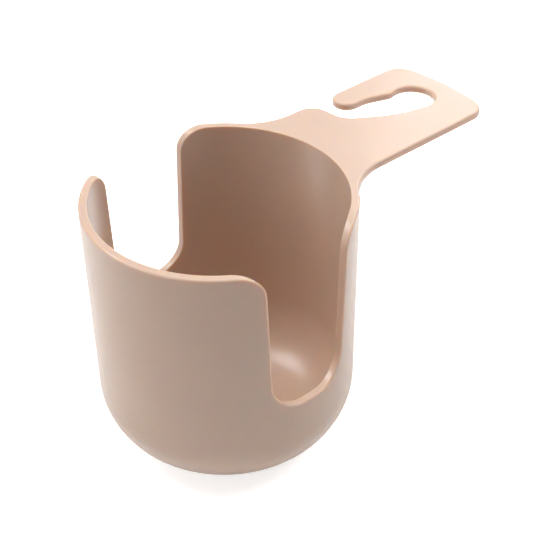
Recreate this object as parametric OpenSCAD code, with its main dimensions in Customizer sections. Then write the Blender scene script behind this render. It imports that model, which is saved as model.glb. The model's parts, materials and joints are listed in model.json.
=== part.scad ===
// Car cup holder, moulded in one piece: an open cup with a slot down each side,
// and a flat arm that hooks over the post of a car's headrest.
// The origin is the middle of the flat base. Z is up, and the arm points along Y.

/* [Cup] */
// Outer diameter at the rim
cup_d = 85; // [78:1:100]
// Height from the base to the rim
cup_h = 90; // [80:1:130]
// Thickness of the wall
wall_t = 2.5; // [2.2:0.1:3.5]
// Thickness of the floor
floor_t = 2.5; // [2:0.1:5]
// Draft of the wall in degrees, which makes the cup narrower at its base
draft = 0.7; // [0:0.1:2]
// Outer radius where the wall turns under into the flat base
turn_r = 23; // [12:0.5:27]
// Radius on the inner and the outer edge of the rim
rim_r = 1; // [0.4:0.1:1]

/* [Side slots] */
// Width of each slot, measured at the rim
slot_w = 32.4; // [26:0.2:40]
// Depth of each slot below the rim
slot_depth = 53; // [35:1:56]
// Lean of each slot side in degrees, which makes the slot narrower at its foot
slot_lean = 2.1; // [0:0.1:4]
// Radius of the two corners at the foot of a slot
slot_foot_r = 11; // [4:0.5:11]
// Radius of the rim's corners beside a slot
horn_r = 8; // [3:0.5:10]
// Distance of the slots' middle in front of the cup's middle
slot_shift = 0.6; // [0:0.1:2]

/* [Arm] */
// Width of the arm
arm_w = 40; // [38:1:46]
// Thickness of the arm
arm_t = 2.5; // [2:0.1:4]
// Distance from the cup's middle to the far end of the arm
arm_reach = 101.3; // [100:0.1:112]
// Distance from the cup's middle over which the arm stays level
level_r = 50.3; // [46:0.1:56]
// Fall of the arm in degrees beyond its level root
arm_fall = 1.6; // [0:0.1:4]
// Radius of the soft bend where the fall begins
bend_r = 200; // [50:10:300]
// Radius of the flares that join the arm to the rim
flare_r = 22; // [14:1:26]
// Radius of the bowed far end
end_bow_r = 86; // [60:1:140]
// Radius of the two far corners
end_corner_r = 6; // [3:0.5:8]
// Radius of the fillet under the arm's root
root_fillet_r = 2; // [0.5:0.5:4]

/* [Headrest hook] */
// Diameter of the round seat that a headrest post snaps into
seat_d = 14.5; // [12:0.1:15]
// Distance from the cup's middle to the seat's middle
seat_y = 86.5; // [85:0.1:88]
// Offset of the seat's middle from the arm's middle, towards the mouth
seat_x = 1.1; // [0:0.1:2]
// Height of the mouth that the post goes in by
mouth_h = 7; // [5:0.1:8]
// Distance from the cup's middle to the mouth's near edge, at the arm's side
mouth_y = 58; // [57:0.1:59]
// Width of the finger at its tip
finger_w = 9.2; // [8:0.1:10]
// Length of the straight stretch behind the finger's round tip
nub_l = 4.5; // [3:0.5:6]
// Lean of the finger's edge behind that stretch, in degrees towards the seat
neck_lean = 19.6; // [15:0.2:24]
// Lean of the seat's tangent edge, in degrees from the arm's width
lead_angle = 76; // [72:1:80]
// Length of that edge, from the seat to the bend in it
lead_l = 12; // [8:0.5:14]
// Lean of the long edge between that bend and the mouth
ramp_angle = 56.4; // [50:0.2:60]
// Rise of the mouth's near edge in degrees, from the arm's side inwards
mouth_rise = 4.2; // [0:0.2:6]
// Radius of the arm's shoulder beside the mouth
shoulder_r = 6.5; // [3:0.5:7]
// Radius of the corner where the mouth turns into the long edge
throat_r = 8; // [4:0.5:10]
// Radius of the bend in the long edge
ramp_r = 40; // [20:1:50]
// Radius of the hollow behind the finger's tip
nub_hollow_r = 15; // [6:1:20]
// Radius of the swell where the finger's edge meets the seat
neck_r = 5; // [2:0.5:6]

/* [Hidden] */
$fn = 128;
cup_r = cup_d / 2;
seat_r = seat_d / 2;
inner_turn_r = turn_r - wall_t;
arm_z = cup_h - arm_t;
// The arm starts inside the wall, so the two share material all along the rim
root_r = cup_r - wall_t / 2;
// A clearance that lets one cut run out through a face cleanly
past = 0.02;
// How far a corner's piece reaches past the corner, so that it overlaps what it is cut from or joined to
beyond = 0.8;
// How far an arc reaches past the line or arc that it is tangent to, so that the two cross cleanly
graze = 0.005;
// Flats along a quarter turn of the rim's rounded edge
edge_steps = 6;
plastic = "#DCC3AE";

// Radius of the wall's outside at height z
function wall_r(z) = cup_r - (cup_h - z) * tan(draft);
function unit(v) = v / norm(v);
function xy(p) = [p[0], p[1]];
function cross2(a, b) = a[0] * b[1] - a[1] * b[0];
function polar(r, a) = r * [cos(a), sin(a)];
// The point where the line from p at angle a crosses the line from q at angle b
function crossing(p, a, q, b) =
    p + polar(cross2(q - p, polar(1, b)) / cross2(polar(1, a), polar(1, b)), a);
// How far to go from p along the unit vector v to come within r of the origin
function reach_of(p, v, r) = -p * v - sqrt(r ^ 2 - cross2(p, v) ^ 2);

// One corner of an outline, rounded: the piece between its two edges and the arc
module corner_piece(c, i) {
    n = len(c);
    p = xy(c[i]);
    r = c[i][2];
    to_last = unit(xy(c[(i + n - 1) % n]) - p);
    to_next = unit(xy(c[(i + 1) % n]) - p);
    half = acos(to_last * to_next) / 2;
    inwards = unit(to_last + to_next);
    middle = p + inwards * r / sin(half);
    difference() {
        polygon([
            p - inwards * beyond,
            p + to_last * r / tan(half),
            middle,
            p + to_next * r / tan(half),
        ]);
        translate(middle) circle(r + graze);
    }
}

function turns_left(c, i) =
    cross2(xy(c[i]) - xy(c[(i + len(c) - 1) % len(c)]), xy(c[(i + 1) % len(c)]) - xy(c[i])) > 0;

// A closed outline of [x, y, radius] corners, listed anticlockwise, with true arcs
module rounded_outline(c) {
    rounded = [for (i = [0 : len(c) - 1]) if (c[i][2] > 0) i];
    difference() {
        union() {
            polygon([for (p = c) xy(p)]);
            for (i = rounded) if (!turns_left(c, i)) corner_piece(c, i);
        }
        for (i = rounded) if (turns_left(c, i)) corner_piece(c, i);
    }
}

// Points along a small arc, for an edge too fine to need a true one
function edge_points(middle, r, from, to) =
    [for (k = [0 : edge_steps]) concat(middle + polar(r, from + (to - from) * k / edge_steps), 0)];

// Half section of the cup: floor, turned-under base, drafted wall and rounded rim
module cup_section() {
    edge_z = cup_h - rim_r;
    outer_x = wall_r(edge_z) - rim_r / cos(draft);
    inner_x = wall_r(edge_z) - wall_t + rim_r / cos(draft);
    rounded_outline(concat(
        [[0, 0, 0], [wall_r(0), 0, turn_r]],
        edge_points([outer_x, edge_z], rim_r, -draft, 90),
        edge_points([inner_x, edge_z], rim_r, 90, 180 - draft),
        [[wall_r(floor_t) - wall_t, floor_t, inner_turn_r], [0, floor_t, 0]]
    ));
}

// Outline of the side slots, seen along X, with horns that curve out onto the rim
module slot_outline() {
    top = cup_h + past;
    half = slot_w / 2;
    foot_half = half - slot_depth * tan(slot_lean);
    rounded_outline([
        [-foot_half, cup_h - slot_depth, slot_foot_r],
        [foot_half, cup_h - slot_depth, slot_foot_r],
        [half, top, horn_r],
        [half + 2 * horn_r, top, 0],
        [half + 2 * horn_r, top + wall_t, 0],
        [-half - 2 * horn_r, top + wall_t, 0],
        [-half - 2 * horn_r, top, 0],
        [-half, top, horn_r],
    ]);
}

// The slots are one cut, straight through both sides of the cup
module slots() {
    translate([-cup_d, -slot_shift, 0])
        rotate([90, 0, 90]) linear_extrude(2 * cup_d) slot_outline();
}

module cup() {
    difference() {
        rotate_extrude() cup_section();
        slots();
    }
}

// Plan of the arm: straight sides, a bowed end, and the hook's mouth, ramp and finger
module arm_outline() {
    side = arm_w / 2;
    seat = [-seat_x, seat_y];
    end_angle = asin((side - end_corner_r) / end_bow_r);
    end_y = arm_reach + end_bow_r * (1 / cos(end_angle) - 1);
    corner_y = end_y - side * tan(end_angle);
    lead_top = seat + polar(seat_r - graze, lead_angle - 90);
    ramp_top = lead_top - polar(lead_l, lead_angle);
    shoulder = [-side, mouth_y];
    throat = crossing(shoulder, mouth_rise, ramp_top, ramp_angle);
    tip_y = throat[1] + mouth_h - (throat[0] + side) * tan(mouth_rise) / 2;
    tip_r = (finger_w - past) / 2;
    nub = [-side + finger_w, tip_y + tip_r + nub_l];
    neck_dir = polar(1, 90 - neck_lean);
    swell_from = nub + polar(neck_r, 180 - neck_lean);
    swell = swell_from + neck_dir * reach_of(swell_from - seat, neck_dir, seat_r + neck_r);
    neck_start = swell - polar(neck_r, 180 - neck_lean);
    neck_end = seat + (swell - seat) * seat_r / (seat_r + neck_r);
    translate(swell) circle(neck_r + graze);
    rounded_outline([
        [-side, 0, 0],
        [side, 0, 0],
        [side, corner_y, end_corner_r],
        [0, end_y, end_bow_r],
        [-side, corner_y, end_corner_r],
        [-side, tip_y, tip_r],
        [nub[0], tip_y, tip_r],
        [nub[0], nub[1], nub_hollow_r],
        [neck_start[0], neck_start[1], 0],
        [swell[0], swell[1], 0],
        [neck_end[0], neck_end[1], 0],
        [seat[0], seat[1], 0],
        [lead_top[0], lead_top[1], 0],
        [ramp_top[0], ramp_top[1], ramp_r],
        [throat[0], throat[1], throat_r],
        [shoulder[0], shoulder[1], shoulder_r],
    ]);
}

// The web between the arm's side and the cup, hollowed by an arc that meets both
module flare() {
    side = arm_w / 2;
    start_r = wall_r(arm_z - root_fillet_r) - past;
    middle = [side + flare_r, sqrt((start_r + flare_r) ^ 2 - (side + flare_r) ^ 2)];
    difference() {
        polygon([[0, 0], middle * start_r / (start_r + flare_r), middle, [side - past, middle[1]], [0, middle[1]]]);
        translate(middle) circle(flare_r + graze);
    }
}

module arm_plan() {
    arm_outline();
    flare();
    mirror([1, 0]) flare();
}

// Half section of the arm, turned about the cup's middle: a level root, then a slight fall
module arm_section() {
    reach = arm_reach + arm_w;
    fall = (reach - level_r) * tan(arm_fall);
    rounded_outline([
        [root_r, arm_z, 0],
        [level_r, arm_z, bend_r],
        [reach, arm_z - fall, 0],
        [reach, cup_h - fall, 0],
        [level_r, cup_h, bend_r],
        [root_r, cup_h, 0],
    ]);
}

// Half section of the fillet in the corner under the arm
module root_fillet_section() {
    foot_z = arm_z - root_fillet_r;
    middle = [wall_r(foot_z) + root_fillet_r - past, foot_z + past];
    difference() {
        polygon([[root_r, foot_z], middle, [middle[0], arm_z + arm_t / 2], [root_r, arm_z + arm_t / 2]]);
        translate(middle) circle(root_fillet_r);
    }
}

module arm() {
    difference() {
        intersection() {
            linear_extrude(cup_h + arm_t) arm_plan();
            rotate_extrude() {
                arm_section();
                root_fillet_section();
            }
        }
        translate([-seat_x, seat_y, 0]) cylinder(r = seat_r, h = cup_h + arm_t);
    }
}

module cup_holder() {
    color(plastic) {
        cup();
        arm();
    }
}

cup_holder();
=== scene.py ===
# %% [markdown]
# A car cup holder, made in one shot of an injection moulding machine. It has an open
# cup with a slot down each side, and a flat arm that hooks over a headrest's post.
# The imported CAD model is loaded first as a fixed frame. Everything here is in metres
# in that frame: Z is up, the arm points along Y, and the base's middle is the origin.

# %% Load the frame
import json
import math

import bmesh
import bpy
from mathutils import Matrix, Vector


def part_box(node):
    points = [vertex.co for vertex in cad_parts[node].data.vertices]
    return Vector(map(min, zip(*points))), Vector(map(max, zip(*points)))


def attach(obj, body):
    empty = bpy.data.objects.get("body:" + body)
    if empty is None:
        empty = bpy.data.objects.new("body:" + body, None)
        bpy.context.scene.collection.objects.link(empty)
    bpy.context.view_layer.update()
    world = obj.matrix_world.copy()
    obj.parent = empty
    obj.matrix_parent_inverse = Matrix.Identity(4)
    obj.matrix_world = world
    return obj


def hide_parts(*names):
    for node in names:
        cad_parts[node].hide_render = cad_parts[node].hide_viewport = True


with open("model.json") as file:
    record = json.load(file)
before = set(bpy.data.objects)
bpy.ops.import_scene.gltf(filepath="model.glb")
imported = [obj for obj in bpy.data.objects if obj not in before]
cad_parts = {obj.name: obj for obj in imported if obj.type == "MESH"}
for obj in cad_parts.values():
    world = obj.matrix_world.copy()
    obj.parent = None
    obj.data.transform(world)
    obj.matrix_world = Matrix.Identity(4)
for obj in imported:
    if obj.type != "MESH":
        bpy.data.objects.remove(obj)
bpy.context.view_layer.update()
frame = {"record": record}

MM = 0.001

# %% [markdown]
# The camera stands to the front right of the cup and looks down on it, as in a
# catalogue photograph. It is placed by two angles and a distance from a point on the
# cup's axis, and a long lens keeps the upright sides nearly parallel. The point on the
# axis isn't in the middle of the picture, so the camera steps sideways and up until it
# lands on its pixel, and no lens shift is needed.

# %% Camera
PICTURE = 533                       # width and height of the picture in pixels
FOCAL_PIXELS = 1414.3               # the lens's focal length, in pixels
AIM = Vector((0, 0, 50)) * MM       # a point on the cup's axis
AIM_PIXEL = (223.6, 299.5)
DISTANCE = 450 * MM
AZIMUTH = math.radians(48.42)
ELEVATION = math.radians(36.95)
ROLL = math.radians(1.13)


def make_camera():
    back = Vector((
        math.sin(AZIMUTH) * math.cos(ELEVATION),
        -math.cos(AZIMUTH) * math.cos(ELEVATION),
        math.sin(ELEVATION),
    ))
    level = back.cross(Vector((0, 0, -1))).normalized()
    down = level.cross(back)
    right = math.cos(ROLL) * level + math.sin(ROLL) * down
    down = math.cos(ROLL) * down - math.sin(ROLL) * level
    across, drop = [(p - PICTURE / 2) / FOCAL_PIXELS * DISTANCE for p in AIM_PIXEL]
    place = AIM - across * right - drop * down + DISTANCE * back
    data = bpy.data.cameras.new("camera")
    data.lens = FOCAL_PIXELS / PICTURE * data.sensor_width
    camera = bpy.data.objects.new("camera", data)
    camera.matrix_world = Matrix.Translation(place) @ Matrix((right, -down, back)).transposed().to_4x4()
    bpy.context.scene.collection.objects.link(camera)
    bpy.context.scene.camera = camera
    return camera


camera = make_camera()
print("Camera at", [round(v / MM) for v in camera.location], "mm")
print("Its lens is", round(camera.data.lens), "mm")

# %% [markdown]
# The main sizes come from the frame: its box gives the cup's height and radius and
# the arm's reach, and the record's clamp mount gives the seat that holds the post.
# The rest are this moulding's own sizes, in millimetres, and each stands in the cell
# that needs it first. A few differ from the solid's, by up to 1.2 mm: they were fitted
# to the photograph once more here, with the rounded edges in place.

# %% Sizes
low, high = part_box("cup_holder")
seat_mount = next(m for m in frame["record"]["mounts"] if m["name"] == "post_seat")

cup_h = high.z / MM
cup_r = -low.y / MM
arm_reach = high.y / MM
seat = Vector(seat_mount["pos_m"][:2]) / MM
seat_r = seat_mount["dims"]["r_mm"]

print("The cup is", round(cup_h, 1), "mm high with a radius of", round(cup_r, 1), "mm")
print("The arm reaches", round(arm_reach, 1), "mm from the axis")

# %% [markdown]
# Flat outlines are the start of each solid. An outline is a list of corners, each
# with the radius that rounds it, and a spin of one vertex about the rounding's middle
# draws the arc. The seat is an arc of more than half a circle, so it has no corner:
# it is given by its middle, its radius and the angles between which it runs.

# %% Outlines
UP = Vector((0, 0, 1))


def polar(radius, angle):
    return Vector((radius * math.cos(angle), radius * math.sin(angle)))


def arc_of(items, i):
    """Where item i's arc starts, its middle, and the angle that it turns by."""
    x, y, radius, *angles = items[i]
    if angles:
        return Vector((x, y)) + polar(radius, angles[0]), Vector((x, y)), angles[1] - angles[0]
    corner = Vector((x, y))
    a = (meets(items[i - 1], 1) - corner).normalized()
    b = (meets(items[(i + 1) % len(items)], 0) - corner).normalized()
    turn = math.pi - a.angle(b)
    if not radius:
        return corner, corner, 0
    middle = corner + (a + b).normalized() * radius / math.cos(turn / 2)
    return corner + a * radius * math.tan(turn / 2), middle, math.copysign(turn, b.cross(a))


def meets(item, end):
    """The point of an item that its neighbour's straight edge runs to."""
    x, y, radius, *angles = item
    return Vector((x, y)) + (polar(radius, angles[end]) if angles else Vector((0, 0)))


def arc_steps(radius, turn):
    """Chords of about 0.7 mm on a small arc, and longer ones on a wide arc."""
    return max(3, math.ceil(abs(turn) * radius / (0.7 + 0.02 * radius)))


def flat_face(items):
    """A face through (x, y, radius) corners and (x, y, radius, from, to) arcs, in millimetres."""
    bm = bmesh.new()
    ends = []
    for i in range(len(items)):
        start, middle, turn = arc_of(items, i)
        first = last = bm.verts.new((*start, 0))
        if turn:
            arc = bmesh.ops.spin(
                bm, geom=[first], cent=(*middle, 0), axis=UP, angle=turn,
                steps=arc_steps(items[i][2], turn), use_merge=False,
            )
            last = arc["geom_last"][0]
        ends.append((first, last))
    for (_, last), (first, _) in zip(ends, ends[1:] + ends[:1]):
        bm.edges.new((last, first))
    bmesh.ops.remove_doubles(bm, verts=bm.verts[:], dist=1e-3)
    bmesh.ops.contextual_create(bm, geom=bm.edges[:])
    return bm


print("A quarter turn of 10 mm radius gets", arc_steps(10, math.pi / 2), "chords")

# %% [markdown]
# A mould is cut out of steel with simple tools, and Booleans build the moulding in the
# same way: solids are joined, cut and intersected. Blender's exact Boolean gives the
# same surface each time, but lists its corners in another order on each run, and a
# later bevel could then differ. So the result is put in order, and corners that lie
# close together are merged, which gives the rounding clean edges.

# %% Solids
def to_object(bm, name):
    """Ends a bmesh: its normals are set outwards and it becomes an object."""
    bmesh.ops.recalc_face_normals(bm, faces=bm.faces[:])
    mesh = bpy.data.meshes.new(name)
    bm.to_mesh(mesh)
    bm.free()
    piece = bpy.data.objects.new(name, mesh)
    bpy.context.scene.collection.objects.link(piece)
    return piece


def in_order(mesh):
    """A bmesh of the mesh with its vertices and faces sorted by place."""
    points = sorted(mesh.vertices, key=lambda v: [round(c, 3) for c in v.co])
    rank = {v.index: i for i, v in enumerate(points)}
    rings = []
    for polygon in mesh.polygons:
        ring = [rank[i] for i in polygon.vertices]
        first = ring.index(min(ring))
        rings.append(ring[first:] + ring[:first])
    bm = bmesh.new()
    corners = [bm.verts.new(v.co) for v in points]
    for ring in sorted(rings):
        bm.faces.new([corners[i] for i in ring])
    return bm


def combine(piece, tool, operation, merge):
    """Works on piece with tool, which is used up, and merges vertices closer than merge, in mm."""
    boolean = piece.modifiers.new("combine", "BOOLEAN")
    boolean.operation = operation
    boolean.solver = "EXACT"
    boolean.object = tool
    depsgraph = bpy.context.evaluated_depsgraph_get()
    piece.data = bpy.data.meshes.new_from_object(piece.evaluated_get(depsgraph))
    piece.modifiers.clear()
    bpy.data.objects.remove(tool)
    bm = in_order(piece.data)
    bmesh.ops.remove_doubles(bm, verts=bm.verts[:], dist=merge)
    bm.to_mesh(piece.data)
    bm.free()
    print("The", operation.lower(), "leaves", len(piece.data.polygons), "faces")
    return piece


# %% [markdown]
# The cup is a turned shape. Its half section has the floor, the wide turned-under
# edge and the wall, and a full spin about Z makes the solid. The rim stays sharp
# here, because all the edges are rounded together at the end.

# %% Cup
wall_t = 2.7
draft = math.radians(0.7)           # lets the moulding leave its mould
turn_r = 23                         # the wall turns under into the base
SPIN_STEPS = 160
SPIN_STEP = 2 * math.pi / SPIN_STEPS


def wall_r(z):
    return cup_r - (cup_h - z) * math.tan(draft)


def spun(bm, start, angle, steps):
    """Turns a flat section, drawn as (radius, height), about the Z axis."""
    bmesh.ops.rotate(bm, verts=bm.verts[:], matrix=Matrix.Rotation(math.radians(90), 3, "X"))
    bmesh.ops.rotate(bm, verts=bm.verts[:], matrix=Matrix.Rotation(start, 3, "Z"))
    whole = angle >= 2 * math.pi
    if whole:
        bmesh.ops.delete(bm, geom=bm.faces[:], context="FACES_ONLY")
        axis_edges = [e for e in bm.edges if all(v.co.xy.length < 1e-6 for v in e.verts)]
        bmesh.ops.delete(bm, geom=axis_edges, context="EDGES")
    section = bm.verts[:] + bm.edges[:] + bm.faces[:]
    bmesh.ops.spin(
        bm, geom=section, cent=(0, 0, 0), axis=(0, 0, 1),
        angle=angle, steps=steps, use_merge=whole,
    )
    bmesh.ops.remove_doubles(bm, verts=bm.verts[:], dist=1e-4)
    return bm


def cup_solid():
    section = flat_face([
        (0, 0, 0),
        (wall_r(0), 0, turn_r),
        (cup_r, cup_h, 0),
        (cup_r - wall_t, cup_h, 0),
        (wall_r(wall_t) - wall_t, wall_t, turn_r - wall_t),
        (0, wall_t, 0),
    ])
    return to_object(spun(section, 0, 2 * math.pi, SPIN_STEPS), "cup")


print("The wall's radius narrows to", round(wall_r(0), 1), "mm at the base")

# %% [markdown]
# Both slots are one cut, straight through the cup, so the cut faces are flat and
# look along the arm. The slot's foot corners are rounded inwards, and the rim's
# corners beside it, the horns, are rounded outwards.

# %% Side slots
slot_w = 31.2
slot_depth = 53.8
slot_lean = math.radians(2.1)
slot_foot_r = 11
horn_r = 8.6                        # the rim's corners beside a slot
slot_shift = 0.5                    # the slots sit this far forward of the middle
OVER = 5                            # how far a cutting tool reaches past what it cuts
CLEAR = 0.02                        # keeps a tool's flat side off the rim's plane


def extruded(bm, way):
    """Gives a flat face a thickness."""
    grown = bmesh.ops.extrude_face_region(bm, geom=bm.faces[:])
    vertices = [g for g in grown["geom"] if isinstance(g, bmesh.types.BMVert)]
    bmesh.ops.translate(bm, verts=vertices, vec=way)
    return bm


def slot_tool():
    half = slot_w / 2
    foot = half - slot_depth * math.tan(slot_lean)
    wide = half + 2 * horn_r
    top = cup_h + CLEAR
    bm = flat_face([
        (-foot, cup_h - slot_depth, slot_foot_r),
        (foot, cup_h - slot_depth, slot_foot_r),
        (half, top, horn_r),
        (wide, top, 0),
        (wide, top + OVER, 0),
        (-wide, top + OVER, 0),
        (-wide, top, 0),
        (-half, top, horn_r),
    ])
    bmesh.ops.translate(bm, verts=bm.verts[:], vec=(-slot_shift, 0, -cup_r - OVER))
    extruded(bm, (0, 0, 2 * (cup_r + OVER)))
    # the outline's x and y become the object's y and z
    bmesh.ops.rotate(bm, verts=bm.verts[:], matrix=Matrix(((0, 0, 1), (1, 0, 0), (0, 1, 0))))
    return to_object(bm, "slot_tool")


print("The slots are", slot_w, "mm wide at the rim and", slot_depth, "mm deep")

# %% [markdown]
# The arm's plan has straight sides and a bowed far end. Where it grows from the cup,
# each side flares out in an arc that meets the round wall smoothly, because a sharp
# inner corner would be the first place to crack. Each corner of the outline is found
# where two straight lines cross, so the arcs meet their neighbours without a kink.

# %% Flares and far end
arm_w = 40.2
arm_t = 2.5
flare_r = 22
root_fillet_r = 2                   # under the arm, where it meets the wall
end_bow_r = 86
end_corner_r = 6.8
INSIDE = 0.05                       # how far the flares and the fillet start inside the wall
QUARTER = math.pi / 2


def crossing(p, a, q, b):
    """Where the line from p at angle a meets the line from q at angle b."""
    u, v = polar(1, a), polar(1, b)
    return p + u * (q - p).cross(v) / u.cross(v)


def flares(side):
    """The arm's root: on each side, the arc that meets both the arm and the cup's wall."""
    start_r = wall_r(cup_h - arm_t - root_fillet_r) - INSIDE
    middle = Vector((side + flare_r, 0))
    middle.y = math.sqrt((start_r + flare_r) ** 2 - middle.x ** 2)
    start = middle * start_r / (start_r + flare_r)
    along_wall = math.atan2(start.y, start.x) + QUARTER
    corner = crossing(start, along_wall, Vector((side, 0)), QUARTER)
    return [
        (-corner.x, corner.y, flare_r),
        (-start.x, start.y, 0),
        (0, 0, 0),
        (*start, 0),
        (*corner, flare_r),
    ]


def far_end(side):
    angle = math.asin((side - end_corner_r) / end_bow_r)
    end_y = arm_reach + end_bow_r * (1 / math.cos(angle) - 1)
    corner_y = end_y - side * math.tan(angle)
    return [
        (side, corner_y, end_corner_r),
        (0, end_y, end_bow_r),
        (-side, corner_y, end_corner_r),
    ]


print("The arm is", arm_w, "mm wide, with flares of radius", flare_r, "mm")

# %% [markdown]
# The hook is cut into the arm's left side. A post comes in at the mouth, slides up the
# long ramp behind the finger, springs past the finger's swell and drops into the round
# seat. The seat has the radius that the record's clamp mount gives it.

# %% Hook
mouth_h = 6.3
mouth_y = 58
mouth_rise = math.radians(4.2)
shoulder_r = 6.5
throat_r = 8
ramp_angle = math.radians(56.4)
ramp_r = 40
lead_angle = math.radians(76)       # the last, steeper stretch of the ramp
lead_l = 12
finger_w = 9.2
nub_l = 4.5                         # the straight stretch behind the finger's tip
nub_hollow_r = 15                   # the hollow between that stretch and the swell
neck_lean = math.radians(19.6)
neck_r = 5                          # the swell between the finger and the seat
HAIR = 0.01                         # keeps the tip's two roundings from touching


def hook(side):
    """The outline from the finger's tip through the seat to the mouth's shoulder."""
    lead_top = seat + polar(seat_r, lead_angle - QUARTER)
    ramp_top = lead_top - polar(lead_l, lead_angle)
    shoulder = Vector((-side, mouth_y))
    throat = crossing(shoulder, mouth_rise, ramp_top, ramp_angle)

    tip_y = throat.y + mouth_h - (throat.x + side) * math.tan(mouth_rise) / 2
    tip_r = finger_w / 2 - HAIR
    nub = Vector((finger_w - side, tip_y + tip_r + nub_l))
    neck_angle = QUARTER - neck_lean
    along = polar(1, neck_angle)
    swell = nub + polar(neck_r, neck_angle + QUARTER)
    to_seat = seat - swell
    swell += along * (to_seat.dot(along) - math.sqrt((seat_r + neck_r) ** 2 - to_seat.cross(along) ** 2))
    seat_angle = math.atan2(swell.y - seat.y, swell.x - seat.x) % (2 * math.pi)
    neck_end = seat + polar(seat_r, seat_angle)
    swell_corner = crossing(nub, neck_angle, neck_end, seat_angle - QUARTER)
    return [
        (-side, tip_y, tip_r),
        (finger_w - side, tip_y, tip_r),
        (*nub, nub_hollow_r),
        (*swell_corner, neck_r),
        (*seat, seat_r, seat_angle, lead_angle - QUARTER),
        (*ramp_top, ramp_r),
        (*throat, throat_r),
        (*shoulder, shoulder_r),
    ]


def arm_plan():
    side = arm_w / 2
    outline = flat_face(flares(side) + far_end(side) + hook(side))
    return to_object(extruded(outline, (0, 0, cup_h + OVER)), "arm_plan")


print("The seat is", 2 * seat_r, "mm across")

# %% [markdown]
# Seen from the side, the arm is a slab that stays level at its root and then falls
# slightly, with a fillet underneath. That section is spun about the cup's axis, so the
# fillet follows the round wall, and the plan is cut out of the result. Joining cup and
# arm with Booleans makes one solid skin, as one shot of plastic does.

# %% Slab and joining
level_r = 50.3                      # the arm is level up to this radius
arm_fall = math.radians(1.6)        # and falls away beyond it
bend_r = 200                        # the bend between the two
SLAB_FIRST = 9                      # the slab starts at this step of the cup's spin
SLAB_STEPS = 62                     # and spans this many, so that the two meet edge to edge


def arm_slab():
    reach = arm_reach + OVER
    root_r = cup_r - wall_t / 2
    arm_z = cup_h - arm_t
    fall = (reach - level_r) * math.tan(arm_fall)
    foot_z = arm_z - root_fillet_r
    foot_r = wall_r(foot_z) - INSIDE
    section = flat_face([
        (root_r, foot_z, 0),
        (foot_r, foot_z, 0),
        (foot_r, arm_z, root_fillet_r),
        (level_r, arm_z, bend_r),
        (reach, arm_z - fall, 0),
        (reach, cup_h - fall, 0),
        (level_r, cup_h, bend_r),
        (root_r, cup_h, 0),
    ])
    spun(section, SLAB_FIRST * SPIN_STEP, SLAB_STEPS * SPIN_STEP, SLAB_STEPS)
    return to_object(section, "arm")


# each merge distance is shorter than any chord of the arcs, so that only slivers go,
# and the last was picked by trial, as the one that leaves the bevels the fewest folds
body = combine(cup_solid(), slot_tool(), "DIFFERENCE", merge=0.38)
arm = combine(arm_slab(), arm_plan(), "INTERSECT", merge=0.001)
body = combine(body, arm, "UNION", merge=0.3)

# %% [markdown]
# No edge of a moulding is a knife edge. The outer edges of the rim and the slots and
# the arm's upper edges, which hands touch, are well rounded. The cup's inner edges are
# crisper, and so are the arm's lower ones, where the mould's halves part. Each group
# gets one bevel, so that a highlight runs on from the rim into the slots and the arm.

# %% Rounded edges
INNER_R = 0.3
OUTER_R = 0.85
PARTING_R = 0.25
FADE = 2.2                          # the lower edges die out this far from the wall
UNDER = 0.5                         # how far above the arm's underside counts as its lower edge
WELD = 0.005                        # vertices that a bevel leaves this close become one
SHARP = math.radians(35)
FLAT = math.radians(0.3)


def edges_to_round(bm, group):
    """The sharp edges on the cup's inside, on the outside, or under the arm."""
    under_z = cup_h - arm_t + UNDER
    found = []
    for edge in bm.edges:
        middle = (edge.verts[0].co + edge.verts[1].co) / 2
        out = middle.xy.length - cup_r
        if out > 0 and middle.z < under_z:
            found_in = "under" if out > FADE else "none"
        else:
            found_in = "inner" if out < middle.z * math.tan(draft) - wall_t else "outer"
        if edge.calc_face_angle(0) > SHARP and found_in == group:
            found.append(edge)
    return found


bm = bmesh.new()
bm.from_mesh(body.data)
bmesh.ops.dissolve_limit(bm, angle_limit=FLAT, verts=bm.verts[:], edges=bm.edges[:])
for group, radius, segments in (("outer", OUTER_R, 5), ("inner", INNER_R, 3), ("under", PARTING_R, 2)):
    edges = edges_to_round(bm, group)
    print("Rounding", len(edges), group, "edges to", radius, "mm")
    bmesh.ops.bevel(
        bm, geom=edges, offset=radius, offset_type="OFFSET", segments=segments,
        profile=0.5, affect="EDGES", material=-1, clamp_overlap=False, loop_slide=False,
    )
bmesh.ops.remove_doubles(bm, verts=bm.verts[:], dist=WELD)
bmesh.ops.scale(bm, vec=(MM, MM, MM), verts=bm.verts[:])
open_edges = sum(not edge.is_manifold for edge in bm.edges)
print("Rounded:", len(bm.verts), "vertices,", len(bm.faces), "faces and", open_edges, "open edges")
holder_mesh = bpy.data.meshes.new("cup_holder_moulding")
bm.to_mesh(holder_mesh)
bm.free()
bpy.data.objects.remove(body)
holder_mesh.shade_smooth()
holder = bpy.data.objects.new("cup_holder_moulding", holder_mesh)
bpy.context.scene.collection.objects.link(holder)
weighted = holder.modifiers.new("even shading", "WEIGHTED_NORMAL")
weighted.keep_sharp = True
weighted.weight = 50

# %% [markdown]
# The whole holder is one shot of polypropylene, coloured through with a warm beige
# pigment. A material is a graph of nodes, and a Principled BSDF can stand for nearly
# any real surface. Two small helpers come first: one turns a colour that is written
# as on a paint card into the linear numbers that a shader works with, and one adds a
# node with its settings and links.

# %% Helpers for materials
def from_hex(text):
    """A colour from its sRGB hex value, made linear."""
    channels = [int(text[i:i + 2], 16) / 255 for i in (0, 2, 4)]
    return [c / 12.92 if c <= 0.04045 else ((c + 0.055) / 1.055) ** 2.4 for c in channels] + [1]


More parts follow.
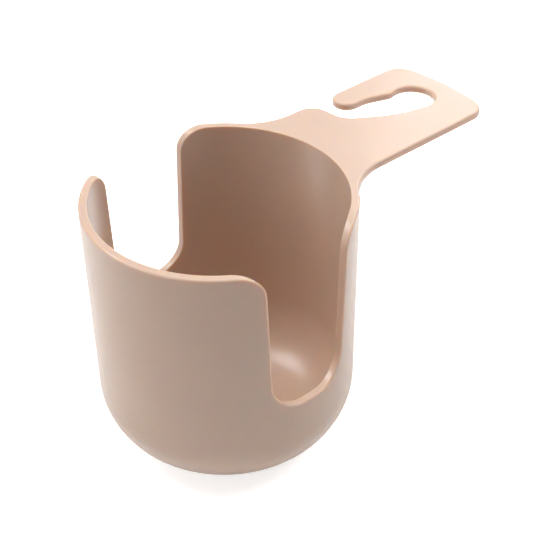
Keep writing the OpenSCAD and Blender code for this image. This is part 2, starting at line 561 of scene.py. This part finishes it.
def add_node(tree, kind, settings={}, links={}):
    """Adds a node. Settings hold its options and input values, and links hold (node, output)."""
    node = tree.nodes.new("ShaderNode" + kind)
    for name, value in settings.items():
        if hasattr(node, str(name)):
            setattr(node, name, value)
        else:
            node.inputs[name].default_value = value
    for name, (source, output) in links.items():
        tree.links.new(source.outputs[output], node.inputs[name])
    return node


print("C6AC9A in linear numbers:", [round(c, 3) for c in from_hex("C6AC9A")])

# %% [markdown]
# Polypropylene that is moulded against a finely blasted mould comes out satin: lamps
# show in it as broad soft patches. Its grain is finer than a tenth of a millimetre,
# which is too fine to show here, so it is drawn at 0.4 mm and hardly changes the gloss.
# Cooling leaves the walls very slightly wavy over a few centimetres, which keeps the
# reflections from looking drawn with a ruler, and the pigment is mixed in almost
# evenly. Light also enters the plastic and comes out again a millimetre or two away,
# red furthest, and that gives every edge its warm glow.

# %% Plastic
plastic = bpy.data.materials.new("satin_moulded_polypropylene")
plastic.use_nodes = True
tree = plastic.node_tree
tree.nodes.clear()
place = {"Vector": (add_node(tree, "TexCoord"), "Object")}
pigment = add_node(tree, "TexNoise", {"Scale": 1 / (25 * MM), "Detail": 2}, place)
waves = add_node(tree, "TexNoise", {"Scale": 1 / (30 * MM), "Detail": 1}, place)
grain = add_node(tree, "TexNoise", {"Scale": 1 / (0.4 * MM), "Detail": 2}, place)

colour = add_node(tree, "ValToRGB", links={"Fac": (pigment, "Fac")})
for stop, position, hex_colour in zip(colour.color_ramp.elements, (0.3, 0.7), ("C6AC9A", "C9AF9D")):
    stop.position = position
    stop.color = from_hex(hex_colour)
satin = add_node(tree, "MapRange", {"To Min": 0.265, "To Max": 0.275}, {"Value": (grain, "Fac")})
wavy = add_node(tree, "Bump", {"Distance": 0.05 * MM}, {"Height": (waves, "Fac")})

surface = add_node(
    tree, "BsdfPrincipled",
    {
        "IOR": 1.49,
        "Subsurface Weight": 1,
        "Subsurface Radius": (1, 0.6, 0.25),
        "Subsurface Scale": 2.8 * MM,
    },
    {"Base Color": (colour, "Color"), "Roughness": (satin, "Result"), "Normal": (wavy, "Normal")},
)
add_node(tree, "OutputMaterial", links={"Surface": (surface, "BSDF")})
holder.data.materials.append(plastic)
print("Plastic:", len(tree.nodes), "nodes")

# %% [markdown]
# The holder stands on a wide sheet of white paper. It is plain and diffuse, so it
# throws light back up under the holder and takes its soft shadow. Where the camera or
# a reflection looks at it, it also glows a little, so that it reads as pure white
# without a stronger lamp. The world around does the same and gives no other light.

# %% Floor and background
def seen(tree, by_camera, by_reflections):
    """A strength that only the camera's rays and reflected or refracted rays meet."""
    rays = add_node(tree, "LightPath")
    strength = add_node(tree, "Math", {"operation": "MULTIPLY", 1: by_camera}, {0: (rays, "Is Camera Ray")})
    for name in ("Is Glossy Ray", "Is Transmission Ray"):
        links = {0: (rays, name), 2: (strength, "Value")}
        strength = add_node(tree, "Math", {"operation": "MULTIPLY_ADD", 1: by_reflections}, links)
    return strength, "Value"


FLOOR_REACH = 3                     # metres from its middle to each side

floor_bm = bmesh.new()
bmesh.ops.create_grid(floor_bm, x_segments=1, y_segments=1, size=FLOOR_REACH)
floor = to_object(floor_bm, "floor")
paper = bpy.data.materials.new("white_paper")
paper.use_nodes = True
tree = paper.node_tree
tree.nodes.clear()
sheet = add_node(
    tree, "BsdfPrincipled",
    {"Base Color": from_hex("F4F4F4"), "Roughness": 0.9, "Emission Color": (1, 1, 1, 1)},
    {"Emission Strength": seen(tree, by_camera=0.7, by_reflections=0.32)},
)
add_node(tree, "OutputMaterial", links={"Surface": (sheet, "BSDF")})
floor.data.materials.append(paper)

world = bpy.data.worlds.new("white_surround")
bpy.context.scene.world = world
world.use_nodes = True
tree = world.node_tree
tree.nodes.clear()
glow = seen(tree, by_camera=1, by_reflections=1)
backing = add_node(tree, "Background", {"Color": (1, 1, 1, 1)}, {"Strength": glow})
add_node(tree, "OutputWorld", links={"Surface": (backing, "Background")})
print("The floor is", 2 * FLOOR_REACH, "m wide")

# %% [markdown]
# The light is a studio's: large softboxes, because satin plastic shows a small lamp as
# a hot spot. A big one overhead lights the arm and the rim most. One at the left is
# mirrored in the cup's rounded bottom, and one low behind the arm gives its upper side
# a pale sheen that fades towards the cup. The others only open up the sides. Powers are
# in watts, and they are kept low enough for a colour to come out about as it is written.

# %% Lamps
LIT = Vector((0, 15, 50)) * MM      # the point that all lamps face


def softbox(name, height, turn, size, power, distance=650):
    """
    A lamp, placed by its height above the horizon and by its turn from the picture's
    right, both in degrees. Its size and distance are in mm, and its power is in watts.
    """
    rise, around = math.radians(height), AZIMUTH + math.radians(turn)
    out = Vector((math.cos(rise) * math.cos(around), math.cos(rise) * math.sin(around), math.sin(rise)))
    data = bpy.data.lights.new(name, "AREA")
    data.shape = "RECTANGLE"
    data.size, data.size_y = [s * MM for s in size]
    data.energy = power
    lamp = bpy.data.objects.new(name, data)
    lamp.location = LIT + out * distance * MM
    lamp.rotation_euler = out.to_track_quat("Z", "Y").to_euler()
    bpy.context.scene.collection.objects.link(lamp)
    print("Lamp", name, "of", power, "W")


softbox("overhead", height=90, turn=0, size=(550, 550), power=3.2)
softbox("left", height=49, turn=166, size=(280, 280), power=1.95)
softbox("low left", height=20, turn=180, size=(350, 350), power=0.25)
softbox("right", height=43, turn=10, size=(300, 300), power=1.8)
softbox("behind", height=28, turn=60, size=(240, 250), power=0.5, distance=420)
softbox("front", height=20, turn=225, size=(400, 400), power=0.75)
bpy.context.scene.view_settings.view_transform = "Standard"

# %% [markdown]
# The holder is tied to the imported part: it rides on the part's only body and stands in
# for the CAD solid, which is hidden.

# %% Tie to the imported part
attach(holder, "root")
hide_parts("cup_holder")
